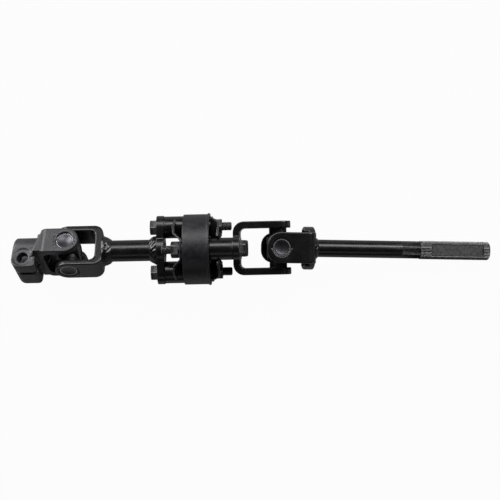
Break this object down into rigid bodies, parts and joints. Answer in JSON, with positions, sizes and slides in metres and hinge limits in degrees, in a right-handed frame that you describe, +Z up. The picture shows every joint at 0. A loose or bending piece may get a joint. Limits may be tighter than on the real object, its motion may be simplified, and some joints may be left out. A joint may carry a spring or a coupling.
{
  "type": "intermediate steering shaft",
  "caption": "Intermediate steering shaft: a clamp yoke, a cross joint, a rubber coupling in a steel ring, a second cross joint and a splined shaft.",
  "frame": {"origin": "middle of the footprint, on the surface that the shaft lies on", "axes": "+X along the shaft from the clamp yoke to the splined end, +Y across the surface, +Z up. The middle stretch rises 2.1 degrees towards the splined end, as the ring lies on its left edge and its lip"},
  "size_m": [0.4396, 0.0656, 0.0656],
  "materials": {
    "forged_yoke": "satin black paint on a forging",
    "painted_steel": "semi-gloss black paint",
    "bearing_steel": "ground steel under thin black paint",
    "needle_steel": "ground bearing steel",
    "forged_cross": "phosphated forging with ground trunnions",
    "seal_rubber": "matt black lip seal",
    "weld_bead": "rough painted weld",
    "bolt_steel": "black phosphated bolt",
    "stopper_plate": "painted spring steel plate",
    "coupling_ring": "mottled black paint",
    "coupling_rubber": "matt moulded rubber",
    "shaft_steel": "semi-gloss black paint, thin over the spline"
  },
  "bodies": {
    "coupling": {"coupling_ring": "coupling_ring", "rubber_disc": "coupling_rubber", "yoke_bolts": "bolt_steel", "yoke_bolt_sleeves": "painted_steel", "yoke_bolt_nuts": "bolt_steel", "yoke_stopper_plate": "stopper_plate", "coupling_yoke": "painted_steel", "coupling_yoke_bearing_cups": "bearing_steel", "coupling_yoke_needle_sets": "needle_steel"},
    "front_shaft": {"weld_yoke": "painted_steel", "weld_yoke_bearing_cups": "bearing_steel", "weld_yoke_needle_sets": "needle_steel", "drive_tube": "painted_steel", "yoke_weld_bead": "weld_bead", "flange_weld_bead": "weld_bead", "flange_plate": "painted_steel", "flange_bolts": "bolt_steel", "flange_bolt_sleeves": "painted_steel", "flange_bolt_nuts": "bolt_steel", "flange_stopper_plate": "stopper_plate"},
    "left_cross": {"left_cross": "forged_cross", "left_cross_seals": "seal_rubber"},
    "clamp_yoke": {"clamp_yoke": "forged_yoke", "clamp_yoke_bearing_cups": "bearing_steel", "clamp_yoke_needle_sets": "needle_steel"},
    "right_cross": {"right_cross": "forged_cross", "right_cross_seals": "seal_rubber"},
    "splined_shaft": {"shaft_fork": "painted_steel", "shaft_fork_bearing_cups": "bearing_steel", "shaft_fork_needle_sets": "needle_steel", "shaft_weld_bead": "weld_bead", "splined_shaft": "shaft_steel"}
  },
  "joints": [
    {"name": "coupling_twist", "type": "hinge", "parent": "coupling", "child": "front_shaft", "pos_m": [-0.04999, 0, 0.03239], "axis": [0.9993, 0, 0.0367], "range_deg": [-3, 3], "stiffness_Nm_per_rad": 60, "deforming": ["rubber_disc"]},
    {"name": "left_cross_in_weld_yoke", "type": "hinge", "parent": "front_shaft", "child": "left_cross", "pos_m": [-0.16692, 0, 0.0281], "axis": [-0.0189, -0.8572, 0.5147], "range_deg": [-30.92, 19.08]},
    {"name": "clamp_yoke_on_left_cross", "type": "hinge", "parent": "left_cross", "child": "clamp_yoke", "pos_m": [-0.16692, 0, 0.0281], "axis": [-0.1343, 0.5123, 0.8483], "range_deg": [-21.46, 28.54]},
    {"name": "right_cross_in_coupling_yoke", "type": "hinge", "parent": "coupling", "child": "right_cross", "pos_m": [0.02326, 0, 0.03508], "axis": [0, 1, 0], "range_deg": [-34.92, 15.08]},
    {"name": "splined_shaft_on_right_cross", "type": "hinge", "parent": "right_cross", "child": "splined_shaft", "pos_m": [0.02326, 0, 0.03508], "axis": [0.1361, 0, 0.9907], "range_deg": [-22.9, 27.1]}
  ]
}
